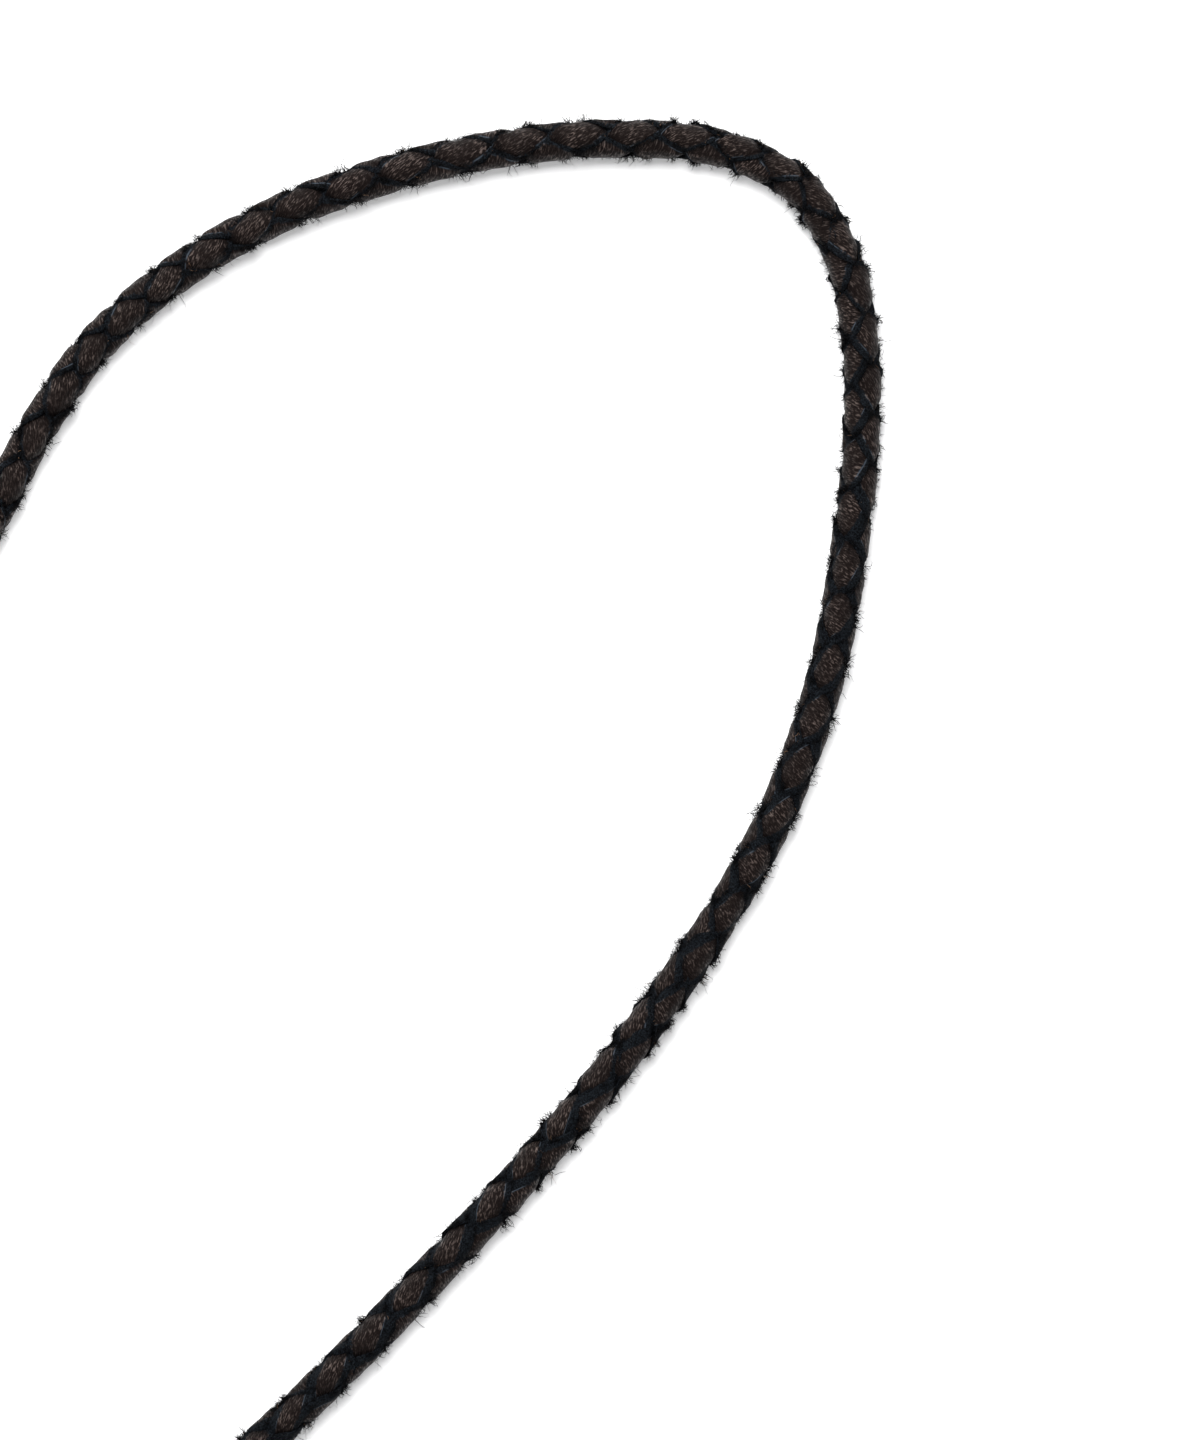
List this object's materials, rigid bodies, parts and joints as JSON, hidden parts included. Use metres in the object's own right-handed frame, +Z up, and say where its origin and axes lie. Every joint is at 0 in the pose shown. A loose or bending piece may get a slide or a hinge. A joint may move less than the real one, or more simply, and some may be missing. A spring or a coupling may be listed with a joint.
{
  "type": "bolo tie",
  "caption": "Bolo tie: a long loop of round braided dark brown leather cord through a plain oval metal slide, with plain metal tips.",
  "frame": {"origin": "centre of the slide's flat back face, on the surface that the tie lies on", "axes": "+Y from the slide to the crown of the loop at the back of the neck, +Z up out of the slide's front, +X to the right seen from the front"},
  "size_m": [0.107, 0.4731, 0.0109],
  "materials": {
    "cord_leather": "waxed dark brown braid with black dyed edges",
    "slide_metal": "polished silver-coloured cast metal",
    "tip_metal": "polished silver-coloured turned metal"
  },
  "bodies": {
    "root": {"braided_cord": "cord_leather", "slide": "slide_metal", "tip_left": "tip_metal", "tip_right": "tip_metal"}
  },
  "joints": []
}
